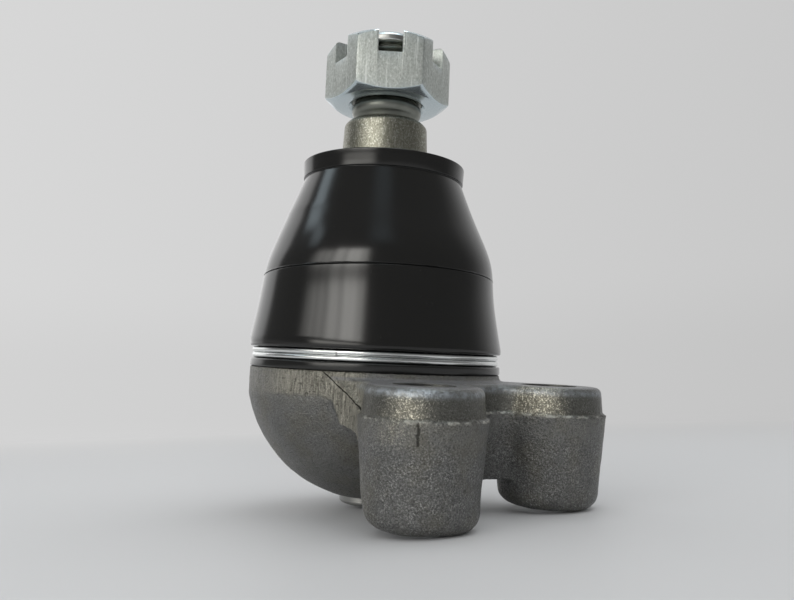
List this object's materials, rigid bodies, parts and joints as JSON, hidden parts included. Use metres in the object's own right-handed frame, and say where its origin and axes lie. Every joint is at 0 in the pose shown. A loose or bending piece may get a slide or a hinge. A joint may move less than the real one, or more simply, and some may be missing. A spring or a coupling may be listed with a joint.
{
  "type": "suspension ball joint",
  "caption": "Suspension ball joint: forged bowl with tapped bosses, black rubber boot held by a wire clip, and a tapered ball stud with a slotted nut.",
  "frame": {"origin": "midway between the two tapped holes, in the plane of the flat pads on top of the bosses; the ball's centre is level with it", "axes": "+Z along the stud and the tapped holes, towards the nut; +Y from one tapped hole to the other; +X away from the stud"},
  "size_m": [0.0709, 0.0566, 0.101],
  "materials": {
    "forged_scale": "raw drop-forged steel, dark grey scale with fine light speckle, trimmed flash line",
    "turned_steel": "bare turned steel, slightly dulled",
    "spring_steel": "dark hardened spring steel, oiled",
    "seat_polymer": "ivory acetal, satin",
    "ring_steel": "stamped steel, bare",
    "stud_steel": "ground alloy steel, grey-brown, satin",
    "zinc_plate": "bluish-white zinc plate over drawn flats, satin",
    "boot_rubber": "black chloroprene rubber, semi-gloss moulded skin",
    "clip_wire": "bright zinc-plated spring wire"
  },
  "bodies": {
    "base": {"housing": "forged_scale", "grease_plug": "turned_steel", "disc_spring": "spring_steel", "lower_seat": "seat_polymer", "retaining_ring": "ring_steel", "boot": "boot_rubber", "boot_clip": "clip_wire"},
    "swing": {"upper_seat": "seat_polymer"},
    "neck": {"boot_neck_ring": "ring_steel"},
    "stud": {"ball_stud": "stud_steel", "slotted_nut": "zinc_plate"}
  },
  "joints": [
    {"name": "swing_direction", "type": "hinge", "parent": "base", "child": "swing", "pos_m": [-0.0331, 0, 0], "axis": [0, 0, 1], "continuous": true},
    {"name": "stud_tilt", "type": "hinge", "parent": "swing", "child": "neck", "pos_m": [-0.0331, 0, 0], "axis": [0, 1, 0], "range_deg": [-25, 25], "deforming": ["boot"]},
    {"name": "stud_spin", "type": "hinge", "parent": "neck", "child": "stud", "pos_m": [-0.0331, 0, 0], "axis": [0, 0, 1], "continuous": true}
  ]
}
